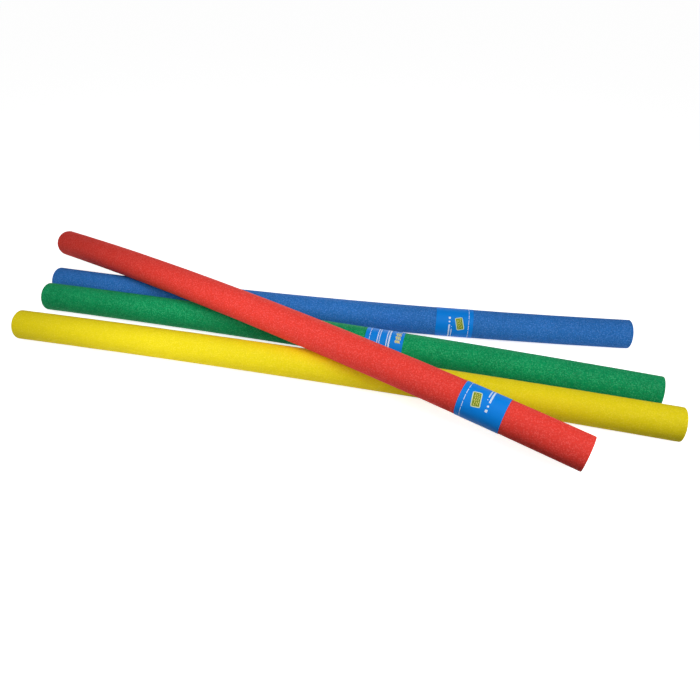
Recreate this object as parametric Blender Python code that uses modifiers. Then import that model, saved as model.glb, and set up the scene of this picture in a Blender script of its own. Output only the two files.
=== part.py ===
# A set of four foam pool noodles: three lie side by side on the ground, and the red one
# lies across them. Each noodle is one hollow tube of foam with a slight natural bow, and
# three of them carry a printed film sleeve that grips the foam.
#
# Metres, +Z up. The yellow noodle lies along X at the front, the -Y side. The origin is
# under the middle of the whole set, on the ground.

import math

import bpy
import numpy as np
from mathutils import Euler, Matrix, Vector

# Sizes that all four noodles share
NOODLE_LENGTH = 1.500
NOODLE_DIAMETER = 0.070
BORE_DIAMETER = 0.024
END_ROUNDING = 0.0015

# The printed film sleeves, and the gap that any two touching pieces keep
SLEEVE_WIDTH = 0.090
SLEEVE_THICKNESS = 0.0003
CLEARANCE = 0.0003

# Bows: how far the middle of each noodle stands out from a straight line between its ends.
# A positive bow goes to the back (+Y) on the three that lie on the ground.
YELLOW_BOW = 0.012
GREEN_BOW = 0.018
BLUE_BOW = -0.030
RED_BOW = 0.047

# The red noodle arches up over the others, and leans this far from level about its length
RED_BOW_LEAN = math.radians(119.0)

# Clear gaps between the lower noodles at their ends, from front to back
YELLOW_GREEN_LEFT_GAP = 0.069
YELLOW_GREEN_RIGHT_GAP = 0.0285
GREEN_BLUE_LEFT_GAP = 0.016
GREEN_BLUE_RIGHT_GAP = 0.159

# How far along X the middle of each noodle lies from the middle of the yellow one
GREEN_SHIFT = -0.021
BLUE_SHIFT = -0.050
RED_SHIFT = -0.156

# The red noodle's middle lies this far behind the yellow one's, and it is turned in plan
RED_SET_BACK = 0.065
RED_HEADING = math.radians(-20.25)

# From a noodle's middle towards its right end to the middle of its sleeve, as a share of
# the noodle's length
RED_SLEEVE_SHARE = 0.364
GREEN_SLEEVE_SHARE = 0.0993
BLUE_SLEEVE_SHARE = 0.218

# Counts of facets and of straight steps along a bow
TUBE_SIDES = 24
FOAM_STEPS = 20
SLEEVE_STEPS = 4
ROUNDING_SEGMENTS = 2
CONTACT_STEPS = 600
SETTLING_ROUNDS = 15

# Edges sharper than this are the rims of cut ends
RIM_ANGLE = math.radians(60.0)

# Linear colours and roughness of the foams and of the film
FOAM_COLOURS = {
    "yellow": (0.800, 0.680, 0.022),
    "green": (0.012, 0.250, 0.075),
    "blue": (0.030, 0.135, 0.440),
    "red": (0.790, 0.055, 0.040),
}
FILM_COLOUR = (0.006, 0.200, 0.740)
FOAM_ROUGHNESS = 0.85
FILM_ROUGHNESS = 0.35

# Sizes worked out from the driving ones
FOAM_RADIUS = NOODLE_DIAMETER / 2
FOAM_WALL = (NOODLE_DIAMETER - BORE_DIAMETER) / 2
HALF_SIDE_ANGLE = math.pi / TUBE_SIDES
FACET_SHARE = math.cos(HALF_SIDE_ANGLE)
REST_HEIGHT = FOAM_RADIUS * FACET_SHARE
SLEEVED_REST_HEIGHT = (FOAM_RADIUS + CLEARANCE) * FACET_SHARE + SLEEVE_THICKNESS


def bow_radius(bow):
    # Radius of the arc of NOODLE_LENGTH whose middle stands out by the bow
    radius = NOODLE_LENGTH ** 2 / (8 * bow)
    for _ in range(SETTLING_ROUNDS):
        half_angle = NOODLE_LENGTH / (2 * radius)
        radius *= radius * (1 - math.cos(half_angle)) / bow
    return radius


def arc_places(length, radius, steps):
    # Points along an arc in the XY plane, whose middle is at zero with its tangent along X
    angles = np.linspace(-0.5, 0.5, steps + 1) * length / radius
    places = [np.sin(angles) * radius, (np.cos(angles) - 1) * radius, np.zeros(steps + 1)]
    return np.stack(places, axis=1)


def clear_scene():
    for item in list(bpy.data.objects):
        bpy.data.objects.remove(item, do_unlink=True)


def make_collection(name):
    collection = bpy.data.collections.new(name)
    bpy.context.scene.collection.children.link(collection)
    return collection


def make_empty(name, parent, collection):
    empty = bpy.data.objects.new(name, None)
    empty.parent = parent
    collection.objects.link(empty)
    return empty


def make_material(name, colour, roughness):
    material = bpy.data.materials.new(name)
    material.use_nodes = True
    surface = material.node_tree.nodes["Principled BSDF"]
    surface.inputs["Base Color"].default_value = (*colour, 1.0)
    surface.inputs["Roughness"].default_value = roughness
    surface.inputs["Metallic"].default_value = 0.0
    return material


def swept_tube(name, tube_radius, length, radius, steps):
    # An open round tube along an arc, as a mesh. One facet faces straight down.
    curve = bpy.data.curves.new(name, "CURVE")
    curve.dimensions = "3D"
    curve.twist_mode = "Z_UP"
    curve.bevel_depth = tube_radius
    curve.bevel_resolution = TUBE_SIDES // 2 - 2
    curve.use_fill_caps = False
    spline = curve.splines.new("POLY")
    places = arc_places(length, radius, steps)
    spline.points.add(len(places) - 1)
    for point, place in zip(spline.points, places):
        point.co = (*place, 1.0)
        point.tilt = HALF_SIDE_ANGLE
    guide = bpy.data.objects.new(name, curve)
    bpy.context.scene.collection.objects.link(guide)
    evaluated = guide.evaluated_get(bpy.context.evaluated_depsgraph_get())
    mesh = bpy.data.meshes.new_from_object(evaluated)
    mesh.name = name
    bpy.data.objects.remove(guide, do_unlink=True)
    bpy.data.curves.remove(curve)
    mesh.shade_smooth()
    return mesh


def add_wall(tube, thickness, offset):
    wall = tube.modifiers.new("wall", "SOLIDIFY")
    wall.thickness = thickness
    wall.offset = offset
    wall.use_even_offset = True


def round_rims(tube):
    rounding = tube.modifiers.new("rims", "BEVEL")
    rounding.width = END_ROUNDING
    rounding.segments = ROUNDING_SEGMENTS
    rounding.limit_method = "ANGLE"
    rounding.angle_limit = RIM_ANGLE
    rounding.harden_normals = True


def make_foam(colour_name, bow, root, collection):
    # The foam is hollow from end to end, and its rims are slightly rounded
    name = colour_name + "_foam"
    mesh = swept_tube(name, FOAM_RADIUS, NOODLE_LENGTH, bow_radius(bow), FOAM_STEPS)
    foam = bpy.data.objects.new(name, mesh)
    foam.parent = root
    collection.objects.link(foam)
    add_wall(foam, FOAM_WALL, -1.0)
    round_rims(foam)
    mesh.materials.append(make_material(name, FOAM_COLOURS[colour_name], FOAM_ROUGHNESS))
    return foam


def make_sleeve(colour_name, bow, place, foam, collection):
    # The sleeve turns about the centre of its foam's bow, which slides it along the foam
    name = colour_name + "_sleeve"
    radius = bow_radius(bow)
    mesh = swept_tube(name, FOAM_RADIUS + CLEARANCE, SLEEVE_WIDTH, radius, SLEEVE_STEPS)
    sleeve = bpy.data.objects.new(name, mesh)
    collection.objects.link(sleeve)
    add_wall(sleeve, SLEEVE_THICKNESS, 1.0)
    mesh.materials.append(make_material(name, FILM_COLOUR, FILM_ROUGHNESS))

    centre = make_empty(colour_name + "_bow_centre", foam, collection)
    centre.location = (0.0, -radius, 0.0)
    angle = place / radius
    sleeve.parent = centre
    sleeve.location = (radius * math.sin(angle), radius * math.cos(angle), 0.0)
    sleeve.rotation_euler = (0.0, 0.0, -angle)
    return sleeve


def pose_matrix(middle, heading, tilt, lean):
    # A noodle's own X runs along it, and its own Y is the way its middle stands out
    turn = Euler((lean, -tilt, heading), "XYZ").to_matrix().to_4x4()
    return Matrix.Translation(Vector(middle)) @ turn


def axis_points(matrix, bow):
    # Points along a noodle's centre line, in the set's frame
    places = arc_places(NOODLE_LENGTH, bow_radius(bow), CONTACT_STEPS)
    rotation = np.array(matrix.to_3x3())
    return places @ rotation.T + np.array(matrix.translation)


def lay_on_ground(left_back, right_back, shift, bow, rest_height):
    # A noodle on the ground, from how far back its two ends lie
    radius = bow_radius(bow)
    half_chord = radius * math.sin(NOODLE_LENGTH / (2 * radius))
    heading = math.asin((right_back - left_back) / (2 * half_chord))
    middle_back = (left_back + right_back) / 2 + bow * math.cos(heading)
    return pose_matrix((shift, middle_back, rest_height), heading, 0.0, 0.0)


def closest_approach(first, second):
    # The least distance between two centre lines, and how far along the first it is
    separations = first[:, None, :] - second[None, :, :]
    distances = np.sqrt((separations ** 2).sum(axis=2))
    row = np.unravel_index(distances.argmin(), distances.shape)[0]
    share = row / CONTACT_STEPS - 0.5
    return distances.min(), share * NOODLE_LENGTH


def lay_across(left_support, right_support):
    # The red noodle's height and tilt are those that seat it on the two lower noodles
    seat = NOODLE_DIAMETER + CLEARANCE
    back = YELLOW_BOW + RED_SET_BACK
    height = REST_HEIGHT + NOODLE_DIAMETER
    tilt = 0.0
    for _ in range(SETTLING_ROUNDS):
        matrix = pose_matrix((RED_SHIFT, back, height), RED_HEADING, tilt, RED_BOW_LEAN)
        points = axis_points(matrix, RED_BOW)
        left_distance, left_place = closest_approach(points, left_support)
        right_distance, right_place = closest_approach(points, right_support)
        left_rise = seat - left_distance
        right_rise = seat - right_distance
        turn = (right_rise - left_rise) / (right_place - left_place)
        tilt += turn
        height += left_rise - turn * left_place
    return matrix


def lay_out():
    # Where each noodle lies, in the set's frame before it is centred
    pitch = NOODLE_DIAMETER
    green_left = pitch + YELLOW_GREEN_LEFT_GAP
    green_right = pitch + YELLOW_GREEN_RIGHT_GAP
    blue_left = green_left + pitch + GREEN_BLUE_LEFT_GAP
    blue_right = green_right + pitch + GREEN_BLUE_RIGHT_GAP
    sleeved = SLEEVED_REST_HEIGHT
    yellow = lay_on_ground(0.0, 0.0, 0.0, YELLOW_BOW, REST_HEIGHT)
    green = lay_on_ground(green_left, green_right, GREEN_SHIFT, GREEN_BOW, sleeved)
    blue = lay_on_ground(blue_left, blue_right, BLUE_SHIFT, BLUE_BOW, sleeved)
    red = lay_across(axis_points(blue, BLUE_BOW), axis_points(yellow, YELLOW_BOW))
    return {"yellow": yellow, "green": green, "blue": blue, "red": red}


def outer_box(objects):
    # The lowest and highest corners of the finished meshes, in world space
    graph = bpy.context.evaluated_depsgraph_get()
    corners = []
    for item in objects:
        evaluated = item.evaluated_get(graph)
        corners += [evaluated.matrix_world @ vertex.co for vertex in evaluated.data.vertices]
    corners = np.array(corners)
    return corners.min(axis=0), corners.max(axis=0)


def centre_on_ground(root, objects):
    # Moves the whole set so that it stands centred over the origin
    bpy.context.view_layer.update()
    low, high = outer_box(objects)
    middle = (low + high) / 2
    root.location = (-middle[0], -middle[1], -low[2])
    bpy.context.view_layer.update()


def build():
    clear_scene()
    collection = make_collection("pool_noodle_set")
    root = make_empty("set_origin", None, collection)
    bows = {"yellow": YELLOW_BOW, "green": GREEN_BOW, "blue": BLUE_BOW, "red": RED_BOW}
    sleeve_shares = {
        "green": GREEN_SLEEVE_SHARE,
        "blue": BLUE_SLEEVE_SHARE,
        "red": RED_SLEEVE_SHARE,
    }
    foams = {}
    for colour_name, matrix in lay_out().items():
        foam = make_foam(colour_name, bows[colour_name], root, collection)
        foam.matrix_basis = matrix
        foams[colour_name] = foam
    sleeves = []
    for colour_name, share in sleeve_shares.items():
        bow = bows[colour_name]
        place = share * NOODLE_LENGTH
        sleeves.append(make_sleeve(colour_name, bow, place, foams[colour_name], collection))
    centre_on_ground(root, [*foams.values(), *sleeves])


build()
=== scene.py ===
# The looks of a set of four pool noodles: hollow foam tubes with an uneven skin and cut
# ends, printed film sleeves, and the stage. The frame is the CAD model, which stays as it is.
#
# Metres, +Z up, in the CAD model's own frame. The yellow noodle lies along X at the front.

import math
from collections import namedtuple

import bpy
import numpy as np
from bpy.props import FloatProperty, FloatVectorProperty, PointerProperty
from bpy.types import Operator, Panel, PropertyGroup
from mathutils import Euler, Matrix, Vector


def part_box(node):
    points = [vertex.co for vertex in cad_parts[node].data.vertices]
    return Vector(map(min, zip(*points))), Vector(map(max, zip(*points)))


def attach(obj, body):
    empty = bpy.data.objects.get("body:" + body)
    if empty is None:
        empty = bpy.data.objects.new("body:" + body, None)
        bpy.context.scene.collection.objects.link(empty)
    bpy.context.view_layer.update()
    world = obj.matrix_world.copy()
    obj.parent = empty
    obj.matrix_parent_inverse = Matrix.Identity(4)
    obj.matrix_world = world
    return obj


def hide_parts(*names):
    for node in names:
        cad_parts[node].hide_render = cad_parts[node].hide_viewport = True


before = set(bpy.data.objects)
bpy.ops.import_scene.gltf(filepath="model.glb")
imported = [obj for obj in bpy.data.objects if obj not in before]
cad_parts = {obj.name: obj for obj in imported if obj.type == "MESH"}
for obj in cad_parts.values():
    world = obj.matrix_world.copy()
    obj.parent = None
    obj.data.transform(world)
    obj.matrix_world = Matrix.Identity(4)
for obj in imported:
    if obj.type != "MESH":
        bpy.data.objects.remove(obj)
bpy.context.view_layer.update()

bl_info = {
    "name": "Pool noodle set",
    "version": (1, 0, 0),
    "blender": (4, 5, 0),
    "location": "View3D > Sidebar > Noodles",
    "description": "Models foam pool noodles with printed film sleeves on a plain stage",
    "category": "Add Mesh",
}

# Where each noodle lies, as in the CAD model. Its own X runs along it, its own Y is the way
# its middle bows out, and the bow's centre lies at minus the bow radius along its own Y.
Lie = namedtuple("Lie", "middle heading tilt lean bow_radius")
LIES = {
    "yellow": Lie((0.056623, -0.085888, 0.034701), 0.0, 0.0, 0.0, 23.4355),
    "green": Lie((0.035623, 0.038856, 0.035298), -1.54777, 0.0, 0.0, 15.622),
    "blue": Lie((0.006623, 0.148433, 0.035298), 3.92246, 0.0, 0.0, -9.37),
    "red": Lie((-0.099377, -0.020888, 0.111595), -20.25, 0.95102, 119.0, 5.97619),
}

# Where each sleeve sits along its noodle, how far round it the print's middle is turned, in
# degrees, and whether the sleeve is turned end for end
Wrap = namedtuple("Wrap", "place turn reversed")
WRAPS = {
    "green": Wrap(0.14895, -74.4, False),
    "blue": Wrap(0.327, 153.6, True),
    "red": Wrap(0.546, 6.5, False),
}

# Counts of facets and steps
TUBE_SIDES = 128
TUBE_STEPS = 200
SLEEVE_STEPS = 24
RIM_SEGMENTS = 3
CUT_RINGS = 13

# Edges that turn by more than the rim angle are the rims of cut ends and get rounded. Edges
# that turn by less than the smooth angle don't show in the shading. A face belongs to a cut end
# if it turns from that end's own direction by less than the flat angle.
RIM_ANGLE = math.radians(60.0)
SMOOTH_ANGLE = math.radians(50.0)
FLAT_ANGLE = math.radians(5.0)

# To which side of a surface a wall is thickened
INWARDS = -1.0
OUTWARDS = 1.0

# The texture value that leaves the surface where it is: the skin swells as much as it sinks,
# and the pits only sink
SWELL_MIDDLE = 0.5
PIT_MIDDLE = 1.0

# How far a piece may stand from the CAD node that it replaces
FIT_TOLERANCE = 0.0015


def linear(hex_colour):
    """The linear colour of an sRGB hex value."""
    channels = [int(hex_colour[start:start + 2], 16) / 255 for start in (1, 3, 5)]
    return [c / 12.92 if c <= 0.04045 else ((c + 0.055) / 1.055) ** 2.4 for c in channels]


def colour_setting(name, description, hex_colour):
    return FloatVectorProperty(
        name=name,
        description=description,
        subtype="COLOR",
        size=3,
        min=0.0,
        max=1.0,
        default=linear(hex_colour),
    )


def length_setting(name, description, metres):
    return FloatProperty(
        name=name,
        description=description,
        unit="LENGTH",
        min=0.0,
        precision=5,
        default=metres,
    )


class FoamSettings(PropertyGroup):
    """Sizes and colours of the foam tubes"""

    length: length_setting("Length", "Length of a noodle along its bow", 1.5)
    diameter: length_setting("Diameter", "Outside diameter of a noodle", 0.070)
    bore: length_setting("Bore", "Diameter of the hole through a noodle", 0.024)
    rim: length_setting("Rim rounding", "Rounding of the cut ends' rims", 0.0015)
    unevenness: length_setting(
        "Unevenness", "How much the extruded skin swells and sinks", 0.0004
    )
    swell: length_setting("Swell length", "Distance from one swelling to the next", 0.055)
    pit_depth: length_setting("Pit depth", "Depth of the opened cells on a cut end", 0.0006)
    pit_width: length_setting("Pit width", "Width of the opened cells on a cut end", 0.003)
    cell: length_setting("Cell size", "Width of one cell as the skin shows it", 0.0027)
    yellow: colour_setting("Yellow foam", "Colour of the yellow foam", "#EFDA0F")
    green: colour_setting("Green foam", "Colour of the green foam", "#009659")
    blue: colour_setting("Blue foam", "Colour of the blue foam", "#2B76C7")
    red: colour_setting("Red foam", "Colour of the red foam", "#EF3F34")


class SleeveSettings(PropertyGroup):
    """Sizes and colours of the printed film sleeves"""

    width: length_setting("Width", "Width of a sleeve along the noodle", 0.090)
    gap: length_setting("Gap", "Gap between foam and film", 0.0003)
    film: length_setting("Film thickness", "Thickness of the printed film", 0.00015)
    overlap: FloatProperty(
        name="Overlap",
        description="Angle over which the film's two ends lie on each other",
        subtype="ANGLE",
        default=math.radians(18.0),
    )
    sky: colour_setting("Film", "Ground colour of the printed film", "#0486EA")
    white: colour_setting("White ink", "Lines and bubbles printed on the film", "#E4F2FF")
    rim: colour_setting("Badge rim", "Rim of the plain badge", "#D6E8B4")
    olive: colour_setting("Badge", "Ground of the plain badge", "#7E8F1E")
    lemon: colour_setting("Badge waves", "Waves on the badge and on the back", "#E0D873")


class StageSettings(PropertyGroup):
    """Camera and light of the stage"""

    lens: FloatProperty(
        name="Lens",
        description="Focal length of the camera in millimetres",
        subtype="DISTANCE_CAMERA",
        default=30.402,
    )
    brightness: FloatProperty(
        name="Brightness",
        description="How many times their own power the lamps give",
        min=0.0,
        default=1.0,
    )
    ambient: FloatProperty(
        name="Ambient",
        description="Strength of the light from all round",
        min=0.0,
        default=0.01,
    )


def deselect_all():
    bpy.ops.object.select_all(action="DESELECT")


def make_active(piece):
    deselect_all()
    piece.select_set(True)
    bpy.context.view_layer.objects.active = piece


def points_of(piece):
    """The places of a mesh's vertices, one row each."""
    places = np.empty(len(piece.data.vertices) * 3)
    piece.data.vertices.foreach_get("co", places)
    return places.reshape(-1, 3)


def lie_matrix(lie):
    """Takes a noodle's own frame to the set's frame."""
    angles = [math.radians(angle) for angle in (lie.lean, lie.tilt, lie.heading)]
    return Matrix.Translation(lie.middle) @ Euler(angles, "XYZ").to_matrix().to_4x4()


def apply_modifiers(piece):
    make_active(piece)
    for modifier in list(piece.modifiers):
        bpy.ops.object.modifier_apply(modifier=modifier.name)


def add_ring(name, radius, place, bow_radius):
    """A circle round the bow line, in a noodle's own frame."""
    angle = place / bow_radius
    centre = (bow_radius * math.sin(angle), bow_radius * (math.cos(angle) - 1), 0.0)
    deselect_all()
    bpy.ops.mesh.primitive_circle_add(
        vertices=TUBE_SIDES,
        radius=radius,
        location=centre,
        rotation=(0.0, math.pi / 2, -angle),
    )
    ring = bpy.context.active_object
    ring.name = name
    ring.data.name = name
    bpy.ops.object.transform_apply(location=True, rotation=True, scale=True)
    return ring


def spin_along_bow(ring, length, bow_radius, steps):
    """Spins a ring about the bow's centre into an open tube that faces outwards."""
    make_active(ring)
    bpy.ops.object.mode_set(mode="EDIT")
    bpy.ops.mesh.select_all(action="SELECT")
    bpy.ops.mesh.spin(
        steps=steps,
        angle=length / bow_radius,
        center=(0.0, -bow_radius, 0.0),
        axis=(0.0, 0.0, 1.0),
    )
    bpy.ops.mesh.select_all(action="SELECT")
    bpy.ops.mesh.normals_make_consistent(inside=False)
    bpy.ops.object.mode_set(mode="OBJECT")


def thicken(tube, thickness, offset):
    wall = tube.modifiers.new("wall", "SOLIDIFY")
    wall.thickness = thickness
    wall.offset = offset
    wall.use_even_offset = True


def lay_in_place(piece, lie):
    """Moves a piece from its noodle's own frame to its place in the set."""
    make_active(piece)
    piece.matrix_world = lie_matrix(lie)
    bpy.ops.object.transform_apply(location=True, rotation=True, scale=True)


def check_fit(piece, node):
    """Raises an error if a piece doesn't lie where the CAD node that it replaces lies."""
    low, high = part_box(node)
    places = points_of(piece)
    gap_low = np.abs(places.min(axis=0) - np.array(low)).max()
    gap_high = np.abs(places.max(axis=0) - np.array(high)).max()
    if max(gap_low, gap_high) > FIT_TOLERANCE:
        raise RuntimeError(f"{piece.name} doesn't lie where {node} lies")


def finish_piece(piece, node, body):
    make_active(piece)
    bpy.ops.object.shade_smooth_by_angle(angle=SMOOTH_ANGLE)
    check_fit(piece, node)
    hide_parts(node)
    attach(piece, body)


def add_node(tree, kind, inputs=None, **settings):
    """Adds a node with its settings and links, and gives its first output if it has one."""
    node = tree.nodes.new(kind)
    for name, value in settings.items():
        setattr(node, name, value)
    for name, value in (inputs or {}).items():
        if isinstance(value, bpy.types.NodeSocket):
            tree.links.new(value, node.inputs[name])
        else:
            node.inputs[name].default_value = value
    return next((output for output in node.outputs if output.enabled), None)


def new_material(name):
    material = bpy.data.materials.new(name)
    material.use_nodes = True
    tree = material.node_tree
    tree.nodes.clear()
    return material, tree


def opaque(colour):
    return (*colour, 1.0)


def shaded(colour, factor, lift):
    """A colour made darker or lighter, and lifted towards white."""
    return opaque([min(1.0, channel * factor + lift) for channel in colour])


def finish_surface(tree, height, depth, strength, inputs):
    """Ends a material with a bumped surface. The depth is in metres."""
    normal = add_node(
        tree, "ShaderNodeBump", {"Height": height, "Distance": depth, "Strength": strength}
    )
    surface = add_node(tree, "ShaderNodeBsdfPrincipled", {**inputs, "Normal": normal})
    add_node(tree, "ShaderNodeOutputMaterial", {"Surface": surface})


# Extruded closed-cell polyethylene foam. The eye sees a matt skin of fine round cells, some
# of which catch the light as pale specks, in soft cloudy patches. The specks are glossier than
# the skin, and their whitening is a painted glint. Foam is mostly air, so its skin shines less
# than solid polyethylene. The cells are drawn a little coarser than the real ones of about
# 1.5 mm, which are too fine to show.
FOAM_IOR = 1.5
FOAM_SHINE = 0.12
SKIN_ROUGHNESS = 0.7
SPECK_ROUGHNESS = 0.5
CELL_DEPTH = 0.0005
CELL_STRENGTH = 0.4

# A speck's radius as a share of a cell, and how much the specks count in the skin's tone
SPECK_RADIUS = 0.75
SPECK_WEIGHT = 0.6

# Soft marks in the skin, with their sizes in metres, their detail and how much each counts in
# the tone. The fine grain also roughens the skin, by a share of a cell's height.
Cloud = namedtuple("Cloud", "size detail weight")
CLOUDS = {
    "patches": Cloud(0.014, 3.0, 0.3),
    "drifts": Cloud(0.16, 1.0, 0.3),
    "grain": Cloud(0.0026, 1.0, 0.8),
}
GRAIN_HEIGHT = 0.4

# The tones at which the foam is darkest and lightest, how much darker and lighter than its
# colour it gets there, and for each colour how strongly it shows that and how far a speck's
# painted glint turns it towards white
DARK_TONE = 0.5
LIGHT_TONE = 1.3
DARK_FACTOR = 0.88
LIGHT_FACTOR = 1.2
MottleAndGlint = namedtuple("MottleAndGlint", "contrast paleness")
MOTTLES_AND_GLINTS = {
    "yellow": MottleAndGlint(0.55, 0.045),
    "green": MottleAndGlint(2.7, 0.06),
    "blue": MottleAndGlint(1.7, 0.075),
    "red": MottleAndGlint(0.8, 0.08),
}


def foam_skin(colour_name, colour, cell):
    material, tree = new_material(colour_name + " polyethylene foam, extruded skin")
    place = add_node(tree, "ShaderNodeTexCoord").node.outputs["Object"]
    distance = add_node(
        tree, "ShaderNodeTexVoronoi", {"Vector": place, "Scale": 1 / cell, "Randomness": 1.0}
    )
    cell_tone = add_node(
        tree, "ShaderNodeSeparateColor", {"Color": distance.node.outputs["Color"]}
    )
    speck_shape = add_node(
        tree,
        "ShaderNodeMapRange",
        {"Value": distance, "From Max": SPECK_RADIUS, "To Min": 1.0, "To Max": 0.0},
        interpolation_type="SMOOTHSTEP",
    )
    specks = add_node(
        tree, "ShaderNodeMath", {0: cell_tone, 1: speck_shape}, operation="MULTIPLY"
    )
    tone = add_node(
        tree, "ShaderNodeMath", {0: specks, 1: SPECK_WEIGHT}, operation="MULTIPLY"
    )
    clouds = {}
    for name, cloud in CLOUDS.items():
        clouds[name] = add_node(
            tree,
            "ShaderNodeTexNoise",
            {"Vector": place, "Scale": 1 / cloud.size, "Detail": cloud.detail},
        )
        tone = add_node(
            tree,
            "ShaderNodeMath",
            {0: clouds[name], 1: cloud.weight, 2: tone},
            operation="MULTIPLY_ADD",
        )
    share = add_node(
        tree,
        "ShaderNodeMapRange",
        {"Value": tone, "From Min": DARK_TONE, "From Max": LIGHT_TONE},
    )
    mottle_and_glint = MOTTLES_AND_GLINTS[colour_name]
    dark = shaded(colour, 1 + (DARK_FACTOR - 1) * mottle_and_glint.contrast, 0.0)
    light = shaded(colour, 1 + (LIGHT_FACTOR - 1) * mottle_and_glint.contrast, 0.0)
    colours = add_node(
        tree, "ShaderNodeMix", {"Factor": share, "A": dark, "B": light}, data_type="RGBA"
    )
    # Painted glint: a speck's colour turns a little towards white, as if its cell caught the
    # lamps' light.
    paleness = add_node(
        tree, "ShaderNodeMath", {0: specks, 1: mottle_and_glint.paleness}, operation="MULTIPLY"
    )
    white = opaque(linear("#FFFFFF"))
    colours = add_node(
        tree, "ShaderNodeMix", {"Factor": paleness, "A": colours, "B": white}, data_type="RGBA"
    )
    roughness = add_node(
        tree,
        "ShaderNodeMapRange",
        {"Value": specks, "To Min": SKIN_ROUGHNESS, "To Max": SPECK_ROUGHNESS},
    )
    height = add_node(
        tree,
        "ShaderNodeMath",
        {0: clouds["grain"], 1: GRAIN_HEIGHT, 2: speck_shape},
        operation="MULTIPLY_ADD",
    )
    inputs = {
        "Base Color": colours,
        "Roughness": roughness,
        "IOR": FOAM_IOR,
        "Specular IOR Level": FOAM_SHINE,
    }
    finish_surface(tree, height, CELL_DEPTH, CELL_STRENGTH, inputs)
    return material


# The same foam where a blade has cut it. The eye sees opened cells: small dark pits between
# paler torn walls, with hardly any shine. The pits are sunk by the bump, and their darker colour
# is painted shade. The cells show a little smaller than in the skin. A wall is palest up to one
# distance from its middle and has gone by another, as shares of a cell, where the pit's painted
# shade is darkest.
CUT_ROUGHNESS = 0.9
CUT_SHINE = 0.1
CUT_CELL_SHARE = 0.8
WALL_PALE = 0.02
WALL_GONE = 0.3
PIT_SHADE_FACTOR = 0.72
CUT_LIGHT_FACTOR = 1.1
CUT_LIFT = 0.03


def cut_foam(colour_name, colour, cell):
    material, tree = new_material(colour_name + " polyethylene foam, knife cut")
    place = add_node(tree, "ShaderNodeTexCoord").node.outputs["Object"]
    edge_distance = add_node(
        tree,
        "ShaderNodeTexVoronoi",
        {"Vector": place, "Scale": 1 / (cell * CUT_CELL_SHARE), "Randomness": 1.0},
        feature="DISTANCE_TO_EDGE",
    )
    wall = add_node(
        tree,
        "ShaderNodeMapRange",
        {
            "Value": edge_distance,
            "From Min": WALL_PALE,
            "From Max": WALL_GONE,
            "To Min": 1.0,
            "To Max": 0.0,
        },
    )
    # The pits take the darker colour, a painted shade, and the walls take the paler colour of the
    # cut foam.
    dark = shaded(colour, PIT_SHADE_FACTOR, 0.0)
    light = shaded(colour, CUT_LIGHT_FACTOR, CUT_LIFT)
    colours = add_node(
        tree, "ShaderNodeMix", {"Factor": wall, "A": dark, "B": light}, data_type="RGBA"
    )
    inputs = {
        "Base Color": colours,
        "Roughness": CUT_ROUGHNESS,
        "IOR": FOAM_IOR,
        "Specular IOR Level": CUT_SHINE,
    }
    finish_surface(tree, wall, CELL_DEPTH, CELL_STRENGTH, inputs)
    return material


def cut_face_edges(foam, wall, rim):
    """Marks the straight edges from rim to bore on both cut ends."""
    places = points_of(foam)
    pairs = np.empty(len(foam.data.edges) * 2, dtype=int)
    foam.data.edges.foreach_get("vertices", pairs)
    pairs = pairs.reshape(-1, 2)
    lengths = np.linalg.norm(places[pairs[:, 0]] - places[pairs[:, 1]], axis=1)
    return np.abs(lengths - (wall - 2 * rim)) < rim / 2


def choose_edges(piece, chosen):
    """Selects only the chosen edges, and leaves the piece in edit mode."""
    make_active(piece)
    bpy.ops.object.mode_set(mode="EDIT")
    bpy.ops.mesh.select_mode(type="EDGE")
    bpy.ops.mesh.select_all(action="DESELECT")
    bpy.ops.object.mode_set(mode="OBJECT")
    piece.data.edges.foreach_set("select", chosen)
    bpy.ops.object.mode_set(mode="EDIT")


def divide_cut_faces(foam, wall, rim):
    """Cuts each end face into rings, so that it has the points for its pits."""
    choose_edges(foam, cut_face_edges(foam, wall, rim))
    bpy.ops.mesh.subdivide_edgering(number_cuts=CUT_RINGS, interpolation="LINEAR")
    bpy.ops.object.mode_set(mode="OBJECT")


def cut_faces_of(foam, length, bow_radius):
    """Which faces lie flat in one of the two cut ends, in a noodle's own frame."""
    count = len(foam.data.polygons)
    normals = np.empty(count * 3)
    centres = np.empty(count * 3)
    foam.data.polygons.foreach_get("normal", normals)
    foam.data.polygons.foreach_get("center", centres)
    normals = normals.reshape(-1, 3)
    centres = centres.reshape(-1, 3)
    flat = np.zeros(count, dtype=bool)
    for side in (-1, 1):
        angle = side * length / 2 / bow_radius
        outwards = side * np.array([math.cos(angle), -math.sin(angle), 0.0])
        facing = normals @ outwards > math.cos(FLAT_ANGLE)
        flat |= facing & (centres[:, 0] * side > 0)
    return flat


def add_displacement(foam, name, texture, strength, middle, group):
    shift = foam.modifiers.new(name, "DISPLACE")
    shift.texture = texture
    shift.texture_coords = "LOCAL"
    shift.strength = strength
    shift.mid_level = middle
    shift.vertex_group = group


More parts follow.
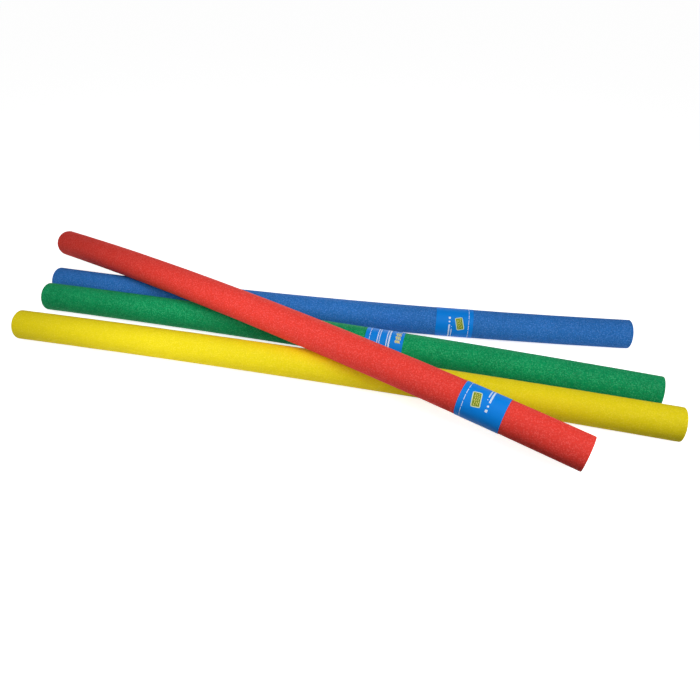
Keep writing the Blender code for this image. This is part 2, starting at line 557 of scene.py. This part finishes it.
def model_foam(colour_name, foam_settings):
    """One hollow foam tube, made in its own frame and then laid in its place."""
    name = colour_name + "_foam_tube"
    lie = LIES[colour_name]
    length = foam_settings.length
    wall = (foam_settings.diameter - foam_settings.bore) / 2
    foam = add_ring(name, foam_settings.diameter / 2, -length / 2, lie.bow_radius)
    spin_along_bow(foam, length, lie.bow_radius, TUBE_STEPS)
    thicken(foam, wall, INWARDS)
    rounding = foam.modifiers.new("rims", "BEVEL")
    rounding.width = foam_settings.rim
    rounding.segments = RIM_SEGMENTS
    rounding.limit_method = "ANGLE"
    rounding.angle_limit = RIM_ANGLE
    apply_modifiers(foam)
    divide_cut_faces(foam, wall, foam_settings.rim)

    colour = getattr(foam_settings, colour_name)
    foam.data.materials.append(foam_skin(colour_name, colour, foam_settings.cell))
    foam.data.materials.append(cut_foam(colour_name, colour, foam_settings.cell))
    flat = cut_faces_of(foam, length, lie.bow_radius)
    foam.data.polygons.foreach_set("material_index", flat.astype(int))
    cut_group = foam.vertex_groups.new(name="cut")
    corners = {
        corner for face in np.flatnonzero(flat) for corner in foam.data.polygons[face].vertices
    }
    cut_group.add(sorted(corners), 1.0, "REPLACE")

    lay_in_place(foam, lie)
    swelling = bpy.data.textures.new(colour_name + " swelling", "CLOUDS")
    swelling.noise_scale = foam_settings.swell
    pitting = bpy.data.textures.new(colour_name + " pitting", "VORONOI")
    pitting.noise_scale = foam_settings.pit_width
    add_displacement(foam, "swelling", swelling, foam_settings.unevenness, SWELL_MIDDLE, "")
    add_displacement(foam, "pitting", pitting, foam_settings.pit_depth, PIT_MIDDLE, "cut")
    apply_modifiers(foam)
    finish_piece(foam, colour_name + "_foam", colour_name + "_noodle")


class NOODLES_OT_foam(Operator):
    """Model the four foam tubes"""

    bl_idname = "noodles.foam"
    bl_label = "Foam tubes"
    bl_options = {"REGISTER", "UNDO"}

    def execute(self, context):
        for colour_name in LIES:
            model_foam(colour_name, context.scene.noodle_foam)
        return {"FINISHED"}


# The print's layout on the unrolled film, in millimetres: across from the sleeve's edge, and
# round from the badge's middle. The map's zero lies before the badge, where nothing is.
PRINT_ROUND = 222.7
PRINT_ACROSS = 90.0
PRINT_START = 60.0
PRINT_END = PRINT_ROUND - PRINT_START

# Lines printed round the film: where each runs across the film, its width, where it starts and
# ends on its way round, the length of a dash with its gap, the dash's share of that, how far
# the line sways, how long each sway is, and the ink. A line that ends before it starts goes
# by the back.
Line = namedtuple("Line", "across width start end dash share sway wavelength ink")
FILM_LINES = (
    Line(11.0, 1.1, -PRINT_START, PRINT_END, 13.5, 0.82, 0.0, 0.0, "white"),
    Line(30.0, 2.2, 88.0, 158.0, 3.1, 0.75, 0.3, 7.0, "white"),
    Line(34.7, 2.2, 88.0, 158.0, 2.7, 0.7, 0.3, 5.0, "white"),
    Line(51.7, 2.4, 56.0, -13.0, 3.2, 0.78, 0.0, 0.0, "white"),
    Line(57.4, 3.5, 56.0, -2.5, 3.3, 0.85, 0.2, 6.0, "white"),
    Line(73.0, 3.0, 95.0, 128.0, 11.0, 0.86, 1.2, 11.0, "lemon"),
    Line(77.0, 3.0, 95.0, 128.0, 11.0, 0.86, 1.2, 11.0, "lemon"),
    Line(81.0, 3.0, 95.0, 128.0, 11.0, 0.86, 1.2, 11.0, "lemon"),
)

# Plain tiles with round corners: the middle across and round, half the size both ways, the
# corner's radius, the turn in degrees and the ink. The badge is a tile with a pale rim, an
# olive ground, and wavy lines that keep a margin from its edge.
Tile = namedtuple("Tile", "across around half_across half_around corner turn ink")
FILM_DOTS = (
    Tile(51.7, -7.5, 0.9, 0.9, 0.9, 0.0, "white"),
    Tile(57.4, 4.5, 1.9, 1.9, 1.2, 0.0, "white"),
    Tile(57.4, 13.8, 2.4, 2.8, 1.2, 0.0, "white"),
)
BADGE = Tile(32.7, 0.5, 9.2, 15.6, 3.4, -13.0, "rim")
BADGE_RIM = 2.0
BADGE_MARGIN = 3.6
BADGE_LINES = (
    Line(-3.2, 1.4, -13.0, 12.0, 4.4, 0.8, 0.8, 8.0, "lemon"),
    Line(0.4, 1.4, -13.0, 12.0, 5.2, 0.7, 0.8, 9.0, "lemon"),
    Line(4.0, 1.4, -13.0, 12.0, 4.0, 0.8, 0.8, 7.0, "lemon"),
)


def print_ink(tree, colours, ink, masks):
    """Lays an ink over the colours wherever all the masks are one."""
    mask = masks[0]
    for other in masks[1:]:
        mask = add_node(tree, "ShaderNodeMath", {0: mask, 1: other}, operation="MULTIPLY")
    inputs = {"Factor": mask, "A": colours, "B": ink}
    return add_node(tree, "ShaderNodeMix", inputs, data_type="RGBA")


def line_masks(tree, line, across, around):
    """The masks that together leave one printed line."""
    if line.sway:
        turn = add_node(
            tree, "ShaderNodeMath", {0: around, 1: line.wavelength / math.tau}, operation="DIVIDE"
        )
        swing = add_node(tree, "ShaderNodeMath", {0: turn}, operation="SINE")
        across = add_node(
            tree, "ShaderNodeMath", {0: swing, 1: line.sway, 2: across}, operation="MULTIPLY_ADD"
        )
    half_length = abs(line.end - line.start) / 2
    band = add_node(
        tree,
        "ShaderNodeMath",
        {0: across, 1: line.across, 2: line.width / 2},
        operation="COMPARE",
    )
    run = add_node(
        tree,
        "ShaderNodeMath",
        {0: around, 1: (line.start + line.end) / 2, 2: half_length},
        operation="COMPARE",
    )
    if line.end < line.start:
        run = add_node(tree, "ShaderNodeMath", {0: 1.0, 1: run}, operation="SUBTRACT")
    masks = [band, run]
    if line.dash:
        step = add_node(tree, "ShaderNodeMath", {0: around, 1: line.dash}, operation="DIVIDE")
        phase = add_node(tree, "ShaderNodeMath", {0: step}, operation="FRACT")
        dash = add_node(
            tree, "ShaderNodeMath", {0: phase, 1: line.share}, operation="LESS_THAN"
        )
        masks.append(dash)
    return masks


def tile_distance(tree, tile, across, around):
    """Distance from a tile's outline, less than zero inside, and the tile's own place."""
    spot = add_node(tree, "ShaderNodeCombineXYZ", {"X": across, "Y": around})
    own = add_node(
        tree,
        "ShaderNodeMapping",
        {
            "Vector": spot,
            "Location": (tile.across, tile.around, 0.0),
            "Rotation": (0.0, 0.0, math.radians(tile.turn)),
        },
        vector_type="TEXTURE",
    )
    folded = add_node(tree, "ShaderNodeVectorMath", {0: own}, operation="ABSOLUTE")
    inner_corner = (tile.half_across - tile.corner, tile.half_around - tile.corner, 0.0)
    beyond = add_node(
        tree, "ShaderNodeVectorMath", {0: folded, 1: inner_corner}, operation="SUBTRACT"
    )
    outside = add_node(
        tree, "ShaderNodeVectorMath", {0: beyond, 1: (0.0, 0.0, 0.0)}, operation="MAXIMUM"
    )
    reach = add_node(tree, "ShaderNodeVectorMath", {0: outside}, operation="LENGTH")
    parts = add_node(tree, "ShaderNodeSeparateXYZ", {"Vector": beyond}).node.outputs
    depth = add_node(
        tree, "ShaderNodeMath", {0: parts["X"], 1: parts["Y"]}, operation="MAXIMUM"
    )
    depth = add_node(tree, "ShaderNodeMath", {0: depth, 1: 0.0}, operation="MINIMUM")
    distance = add_node(tree, "ShaderNodeMath", {0: reach, 1: depth}, operation="ADD")
    distance = add_node(
        tree, "ShaderNodeMath", {0: distance, 1: tile.corner}, operation="SUBTRACT"
    )
    places = add_node(tree, "ShaderNodeSeparateXYZ", {"Vector": own}).node.outputs
    return distance, places["X"], places["Y"]


def print_tile(tree, colours, distance, inset, ink):
    """Prints a tile, or its inside where it is inset."""
    inside = add_node(
        tree, "ShaderNodeMath", {0: distance, 1: -inset}, operation="LESS_THAN"
    )
    return print_ink(tree, colours, ink, [inside])


def film_print(tree, settings):
    """The printed pattern on the film's own print map."""
    print_map = add_node(tree, "ShaderNodeUVMap", uv_map="print")
    parts = add_node(tree, "ShaderNodeSeparateXYZ", {"Vector": print_map}).node.outputs
    around = add_node(
        tree,
        "ShaderNodeMath",
        {0: parts["X"], 1: PRINT_ROUND, 2: -PRINT_START},
        operation="MULTIPLY_ADD",
    )
    across = add_node(
        tree, "ShaderNodeMath", {0: parts["Y"], 1: PRINT_ACROSS}, operation="MULTIPLY"
    )
    colours = opaque(settings.sky)
    for line in FILM_LINES:
        ink = opaque(getattr(settings, line.ink))
        colours = print_ink(tree, colours, ink, line_masks(tree, line, across, around))
    for dot in FILM_DOTS:
        distance = tile_distance(tree, dot, across, around)[0]
        colours = print_tile(tree, colours, distance, 0.0, opaque(getattr(settings, dot.ink)))
    distance, own_across, own_around = tile_distance(tree, BADGE, across, around)
    colours = print_tile(tree, colours, distance, 0.0, opaque(settings.rim))
    colours = print_tile(tree, colours, distance, BADGE_RIM, opaque(settings.olive))
    field = add_node(
        tree, "ShaderNodeMath", {0: distance, 1: -BADGE_MARGIN}, operation="LESS_THAN"
    )
    for line in BADGE_LINES:
        masks = line_masks(tree, line, own_across, own_around) + [field]
        colours = print_ink(tree, colours, opaque(getattr(settings, line.ink)), masks)
    return colours


# Printed polypropylene film, drawn tight round the foam. The eye sees an even bright blue
# with a soft satin shine, crisp pale ink, and a faint ripple from the foam beneath.
FILM_IOR = 1.49
FILM_SHINE = 0.15
FILM_ROUGHNESS = 0.5
RIPPLE_SIZE = 0.009
RIPPLE_DETAIL = 2.0
RIPPLE_DEPTH = 0.0002
RIPPLE_STRENGTH = 0.35

# The angle from the print's middle to the seam, which the camera doesn't see
SEAM_TURN = math.radians(111.6)

# The middle of the print map, across the film
MAP_MIDDLE = 0.5


def printed_film(name, settings):
    material, tree = new_material(name + " polypropylene film, printed")
    place = add_node(tree, "ShaderNodeTexCoord").node.outputs["Object"]
    ripples = add_node(
        tree,
        "ShaderNodeTexNoise",
        {"Vector": place, "Scale": 1 / RIPPLE_SIZE, "Detail": RIPPLE_DETAIL},
    )
    inputs = {
        "Base Color": film_print(tree, settings),
        "Roughness": FILM_ROUGHNESS,
        "IOR": FILM_IOR,
        "Specular IOR Level": FILM_SHINE,
    }
    finish_surface(tree, ripples, RIPPLE_DEPTH, RIPPLE_STRENGTH, inputs)
    return material


def angles_round(places, bow_radius):
    """How far round the noodle each place lies, from the noodle's own Y towards its Z."""
    reach = np.hypot(places[:, 0], places[:, 1] + bow_radius)
    outwards = reach * math.copysign(1.0, bow_radius) - bow_radius
    return np.arctan2(places[:, 2], outwards)


def places_along(places, bow_radius):
    """How far along the bow each place lies from the noodle's middle."""
    side = math.copysign(1.0, bow_radius)
    return np.arctan2(places[:, 0] * side, (places[:, 1] + bow_radius) * side) * bow_radius


def map_print(sleeve, wrap, width, bow_radius):
    """Unrolls the film into its print map, one face at a time, so that none is cut."""
    mesh = sleeve.data
    places = points_of(sleeve)
    corners = np.empty(len(mesh.loops), dtype=int)
    mesh.loops.foreach_get("vertex_index", corners)
    starts = np.empty(len(mesh.polygons), dtype=int)
    sizes = np.empty(len(mesh.polygons), dtype=int)
    mesh.polygons.foreach_get("loop_start", starts)
    mesh.polygons.foreach_get("loop_total", sizes)

    turns = (angles_round(places, bow_radius) - math.radians(wrap.turn)) / math.tau
    across = (places_along(places, bow_radius) - wrap.place) / width + MAP_MIDDLE
    if wrap.reversed:
        turns = -turns
        across = 1 - across
    turns = (turns + PRINT_START / PRINT_ROUND)[corners]
    firsts = np.repeat(turns[starts] % 1.0, sizes)
    nearest = turns - np.repeat(turns[starts], sizes)
    nearest -= np.round(nearest)
    print_map = mesh.uv_layers.new(name="print")
    pairs = np.stack([firsts + nearest, across[corners]], axis=1)
    print_map.data.foreach_set("uv", pairs.ravel())


def cut_to_arc(ring, middle, half_angle, bow_radius):
    """Deletes a ring's points that lie outside an arc."""
    angles = angles_round(points_of(ring), bow_radius)
    away = np.abs((angles - middle + math.pi) % math.tau - math.pi)
    make_active(ring)
    bpy.ops.object.mode_set(mode="EDIT")
    bpy.ops.mesh.select_mode(type="VERT")
    bpy.ops.mesh.select_all(action="DESELECT")
    bpy.ops.object.mode_set(mode="OBJECT")
    ring.data.vertices.foreach_set("select", away > half_angle)
    bpy.ops.object.mode_set(mode="EDIT")
    bpy.ops.mesh.delete(type="VERT")
    bpy.ops.object.mode_set(mode="OBJECT")


def model_sleeve(colour_name, settings, foam_settings):
    """A band of film round the foam, and the strip where the film's end overlaps it."""
    name = colour_name + "_film_sleeve"
    lie = LIES[colour_name]
    wrap = WRAPS[colour_name]
    inside = foam_settings.diameter / 2 + settings.gap
    start = wrap.place - settings.width / 2
    seam = math.radians(wrap.turn) + SEAM_TURN

    band = add_ring(name, inside, start, lie.bow_radius)
    spin_along_bow(band, settings.width, lie.bow_radius, SLEEVE_STEPS)
    strip = add_ring(name + "_seam", inside + settings.film, start, lie.bow_radius)
    cut_to_arc(strip, seam, settings.overlap / 2, lie.bow_radius)
    spin_along_bow(strip, settings.width, lie.bow_radius, SLEEVE_STEPS)
    for film in (band, strip):
        thicken(film, settings.film, OUTWARDS)
        apply_modifiers(film)
    make_active(band)
    strip.select_set(True)
    bpy.ops.object.join()

    map_print(band, wrap, settings.width, lie.bow_radius)
    band.data.materials.append(printed_film(colour_name, settings))
    lay_in_place(band, lie)
    finish_piece(band, colour_name + "_sleeve", colour_name + "_label")


class NOODLES_OT_sleeves(Operator):
    """Model the printed film sleeves"""

    bl_idname = "noodles.sleeves"
    bl_label = "Film sleeves"
    bl_options = {"REGISTER", "UNDO"}

    def execute(self, context):
        scene = context.scene
        for colour_name in WRAPS:
            model_sleeve(colour_name, scene.noodle_sleeves, scene.noodle_foam)
        return {"FINISHED"}


# The camera stands where the photograph's camera stood
CAMERA_PLACE = (0.3560, -1.1133, 0.8061)
CAMERA_YAW = math.radians(12.5707)
CAMERA_PITCH = math.radians(34.2219)
CAMERA_ROLL = math.radians(1.0581)

# The floor lies just under the foam's lowest swelling
FLOOR_HEIGHT = -0.0006
FLOOR_SIZE = 60.0

# The floor as the camera sees it: lit by the lamps, so that the noodles' shadow stays, and
# glowing. The glow grows with the distance from the noodles, as the lamps' light fades.
FLOOR_COLOUR = "#F2F2F2"
FLOOR_GLOW = 0.84
FULL_GLOW = 1.1
GLOW_START = 0.5
GLOW_END = 1.1

# The light that the floor throws back up. The pale board's front edge lies square to the camera
# and close before the noodles, and what lies before it throws back almost nothing.
BOARD_BOUNCE = "#E6E6E6"
BEYOND_BOUNCE = "#181818"
BOARD_EDGE = -0.25
BOARD_END = -0.35

# Round soft lamps round the noodles, with their sizes in metres and powers in watts. The one at
# the back is weak, and only keeps the far side from going dark.
Lamp = namedtuple("Lamp", "name place size power")
LAMPS = (
    Lamp("front_left_lamp", (-0.6, -1.2, 1.0), 0.8, 3.89),
    Lamp("front_right_lamp", (1.0, -0.7, 0.8), 0.6, 5.18),
    Lamp("side_lamp", (1.7, 0.0, 0.5), 0.8, 3.86),
    Lamp("right_top_lamp", (0.55, -0.45, 1.3), 0.8, 3.43),
    Lamp("left_top_lamp", (-0.8, -0.2, 1.2), 0.8, 2.22),
    Lamp("near_lamp", (-0.3, -0.45, 0.7), 0.5, 2.42),
    Lamp("low_lamp", (-0.35, -0.5, 0.15), 0.3, 0.41),
    Lamp("back_lamp", (-0.2, 1.7, 0.5), 0.8, 5.5),
)
LAMP_TARGET = (0.0, 0.0, 0.03)


def seen_directly(tree):
    """One for what the camera, a reflection or glass sees, else zero."""
    path = add_node(tree, "ShaderNodeLightPath").node.outputs
    seen = path["Is Camera Ray"]
    for ray in ("Is Glossy Ray", "Is Transmission Ray"):
        seen = add_node(tree, "ShaderNodeMath", {0: seen, 1: path[ray]}, operation="MAXIMUM")
    return seen


def add_floor():
    deselect_all()
    bpy.ops.mesh.primitive_plane_add(size=FLOOR_SIZE, location=(0.0, 0.0, FLOOR_HEIGHT))
    floor = bpy.context.active_object
    floor.name = "floor"
    bpy.ops.object.transform_apply(location=True, rotation=True, scale=True)
    material, tree = new_material("white studio floor, painted board")
    white = opaque(linear(FLOOR_COLOUR))
    place = add_node(tree, "ShaderNodeTexCoord").node.outputs["Object"]
    away = add_node(tree, "ShaderNodeVectorMath", {0: place}, operation="LENGTH")
    strength = add_node(
        tree,
        "ShaderNodeMapRange",
        {
            "Value": away,
            "From Min": GLOW_START,
            "From Max": GLOW_END,
            "To Min": FLOOR_GLOW,
            "To Max": FULL_GLOW,
        },
    )
    lit = add_node(tree, "ShaderNodeBsdfDiffuse", {"Color": white})
    glow = add_node(tree, "ShaderNodeEmission", {"Color": white, "Strength": strength})
    seen = add_node(tree, "ShaderNodeAddShader", {0: lit, 1: glow})
    turned = add_node(
        tree,
        "ShaderNodeVectorRotate",
        {"Vector": place, "Angle": -CAMERA_YAW},
        rotation_type="Z_AXIS",
    )
    depth = add_node(tree, "ShaderNodeSeparateXYZ", {"Vector": turned}).node.outputs["Y"]
    on_board = add_node(
        tree,
        "ShaderNodeMapRange",
        {"Value": depth, "From Min": BOARD_END, "From Max": BOARD_EDGE},
    )
    bounce_colour = add_node(
        tree,
        "ShaderNodeMix",
        {
            "Factor": on_board,
            "A": opaque(linear(BEYOND_BOUNCE)),
            "B": opaque(linear(BOARD_BOUNCE)),
        },
        data_type="RGBA",
    )
    bounce = add_node(tree, "ShaderNodeBsdfDiffuse", {"Color": bounce_colour})
    mixed = add_node(tree, "ShaderNodeMixShader", {0: seen_directly(tree), 1: bounce, 2: seen})
    add_node(tree, "ShaderNodeOutputMaterial", {"Surface": mixed})
    floor.data.materials.append(material)


def set_world(ambient):
    world = bpy.data.worlds.new("white studio")
    world.use_nodes = True
    tree = world.node_tree
    tree.nodes.clear()
    white = opaque(linear("#FFFFFF"))
    soft = add_node(tree, "ShaderNodeBackground", {"Color": white, "Strength": ambient})
    full = add_node(tree, "ShaderNodeBackground", {"Color": white, "Strength": 1.0})
    mixed = add_node(tree, "ShaderNodeMixShader", {0: seen_directly(tree), 1: soft, 2: full})
    add_node(tree, "ShaderNodeOutputWorld", {"Surface": mixed})
    bpy.context.scene.world = world


def add_light(lamp, brightness):
    deselect_all()
    bpy.ops.object.light_add(type="AREA", location=lamp.place)
    light = bpy.context.active_object
    light.name = lamp.name
    light.data.shape = "DISK"
    light.data.size = lamp.size
    light.data.energy = lamp.power * brightness
    light.visible_camera = False
    aim = Vector(LAMP_TARGET) - Vector(lamp.place)
    light.rotation_euler = aim.to_track_quat("-Z", "Y").to_euler()


def add_camera(lens):
    deselect_all()
    bpy.ops.object.camera_add()
    camera = bpy.context.active_object
    camera.name = "camera"
    camera.data.lens = lens
    camera.matrix_world = (
        Matrix.Translation(CAMERA_PLACE)
        @ Matrix.Rotation(CAMERA_YAW, 4, "Z")
        @ Matrix.Rotation(math.pi / 2 - CAMERA_PITCH, 4, "X")
        @ Matrix.Rotation(CAMERA_ROLL, 4, "Z")
    )
    bpy.context.scene.camera = camera


class NOODLES_OT_stage(Operator):
    """Set up the floor, the lights and the camera"""

    bl_idname = "noodles.stage"
    bl_label = "Stage"
    bl_options = {"REGISTER", "UNDO"}

    def execute(self, context):
        settings = context.scene.noodle_stage
        add_floor()
        set_world(settings.ambient)
        for lamp in LAMPS:
            add_light(lamp, settings.brightness)
        add_camera(settings.lens)
        context.scene.view_settings.view_transform = "Standard"
        return {"FINISHED"}


class NOODLES_PT_panel(Panel):
    """Lists the operators and settings of the noodle set"""

    bl_idname = "NOODLES_PT_panel"
    bl_label = "Pool noodles"
    bl_space_type = "VIEW_3D"
    bl_region_type = "UI"
    bl_category = "Noodles"

    def draw(self, context):
        layout = self.layout
        for operator in OPERATORS:
            layout.operator(operator.bl_idname)
        for group in SETTINGS:
            settings = getattr(context.scene, group)
            for name in settings.__annotations__:
                layout.prop(settings, name)


OPERATORS = (NOODLES_OT_foam, NOODLES_OT_sleeves, NOODLES_OT_stage)
SETTINGS = {
    "noodle_foam": FoamSettings,
    "noodle_sleeves": SleeveSettings,
    "noodle_stage": StageSettings,
}
CLASSES = (*SETTINGS.values(), *OPERATORS, NOODLES_PT_panel)


def register():
    for made in CLASSES:
        bpy.utils.register_class(made)
    for name, group in SETTINGS.items():
        setattr(bpy.types.Scene, name, PointerProperty(type=group))


def unregister():
    for name in SETTINGS:
        delattr(bpy.types.Scene, name)
    for made in reversed(CLASSES):
        bpy.utils.unregister_class(made)


def main():
    register()
    bpy.ops.noodles.foam()
    bpy.ops.noodles.sleeves()
    bpy.ops.noodles.stage()


if __name__ == "__main__":
    main()
